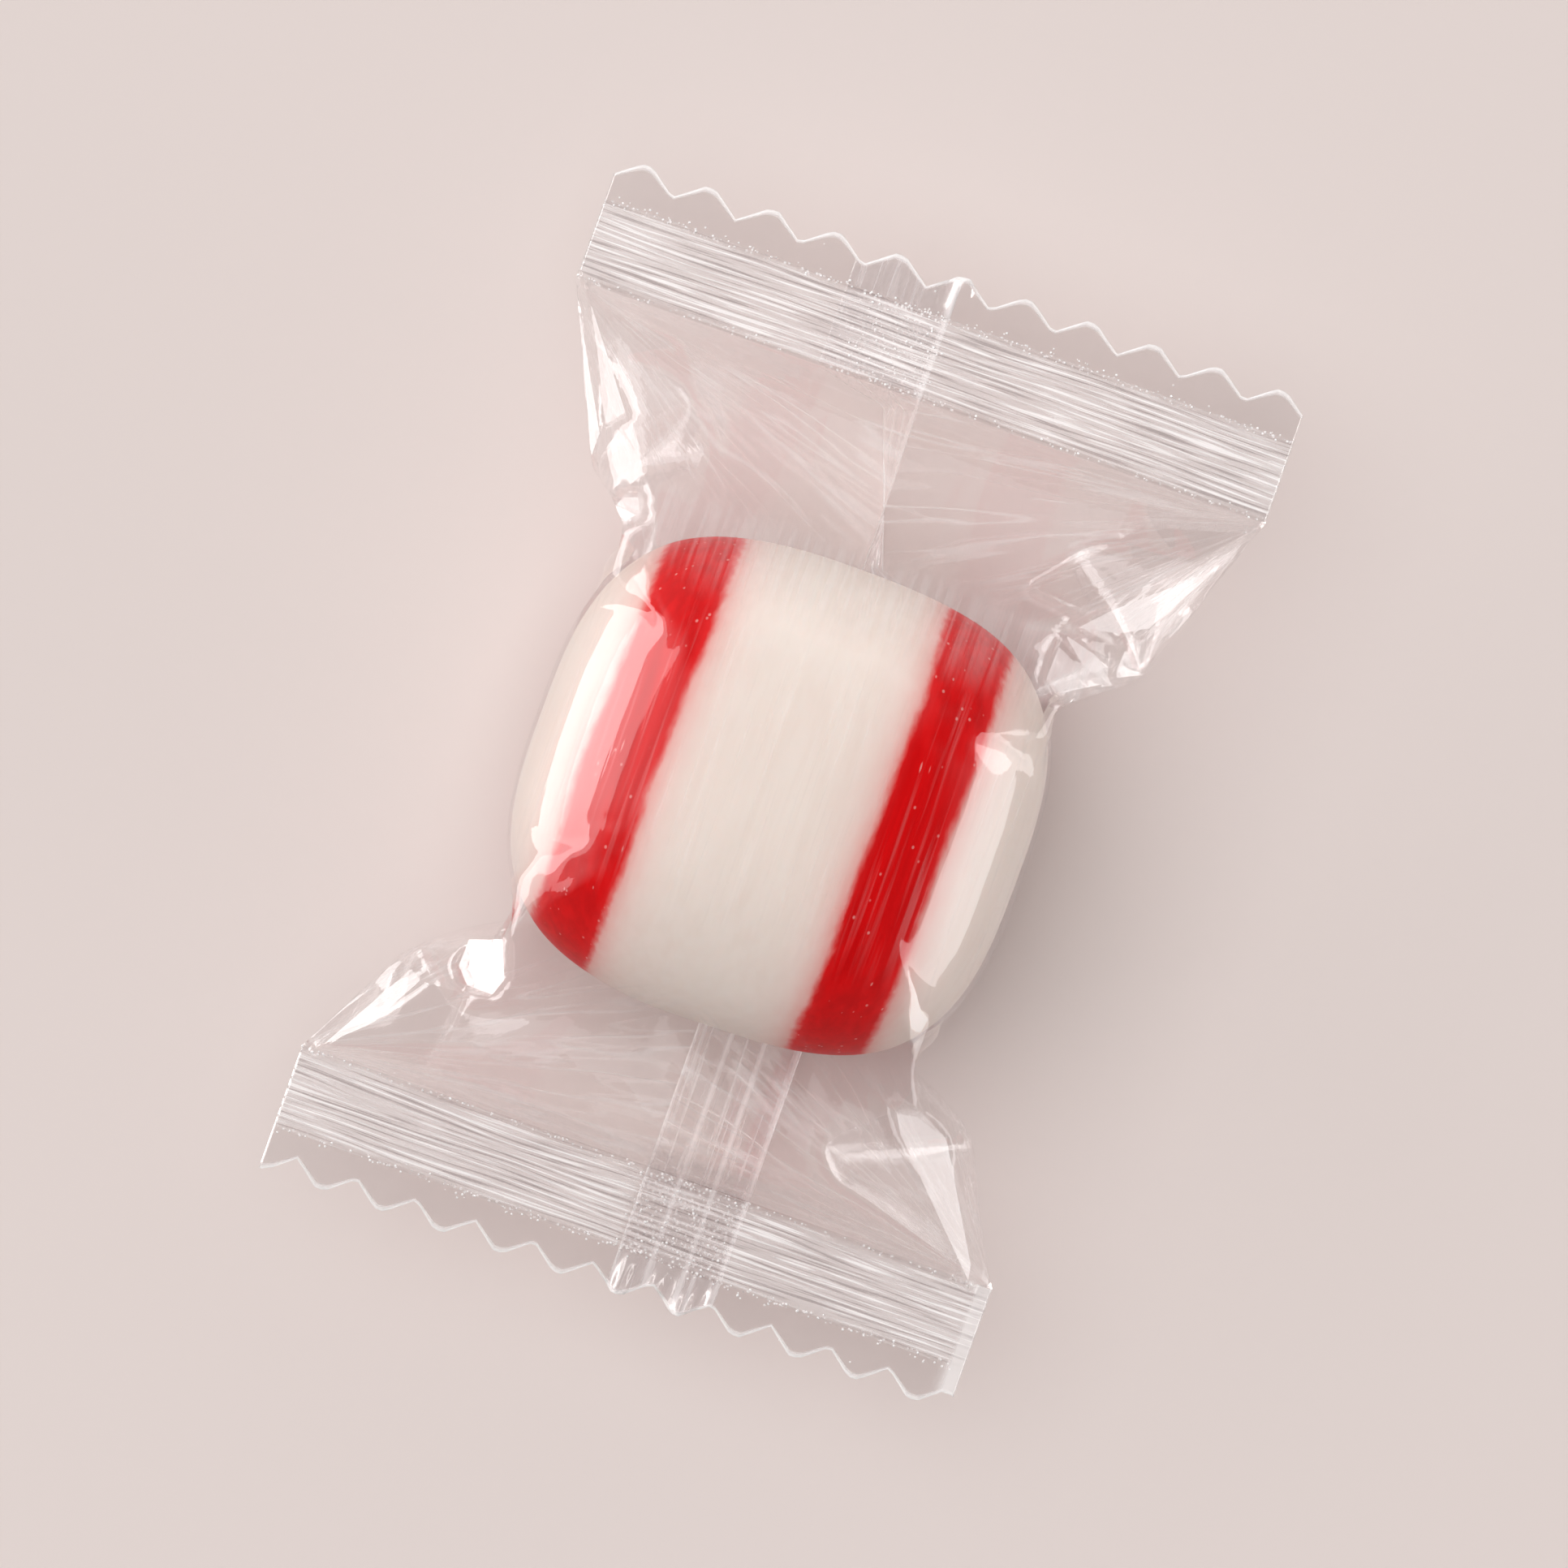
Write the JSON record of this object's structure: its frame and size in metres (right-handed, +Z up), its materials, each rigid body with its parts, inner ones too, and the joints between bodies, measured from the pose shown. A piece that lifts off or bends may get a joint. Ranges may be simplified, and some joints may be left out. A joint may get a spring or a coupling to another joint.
{
  "type": "wrapped soft peppermint candy",
  "caption": "Soft peppermint candy, a white pillow with red stripes, in a clear flow wrap with crimped zigzag ends and a fin seal along the back.",
  "frame": {"origin": "middle of the bounding box at the base, on the surface that the candy lies on", "axes": "+Z up out of the shown front, +Y along the wrap and the stripes towards the upper end seal, +X across the wrap"},
  "size_m": [0.029, 0.0426, 0.0153],
  "materials": {
    "candy": "satin pulled sugar, white with red stripes",
    "clear_film": "clear glossy packaging film, about 30 micrometres thick"
  },
  "bodies": {
    "root": {"wrapped_candy": "clear_film"}
  },
  "joints": []
}
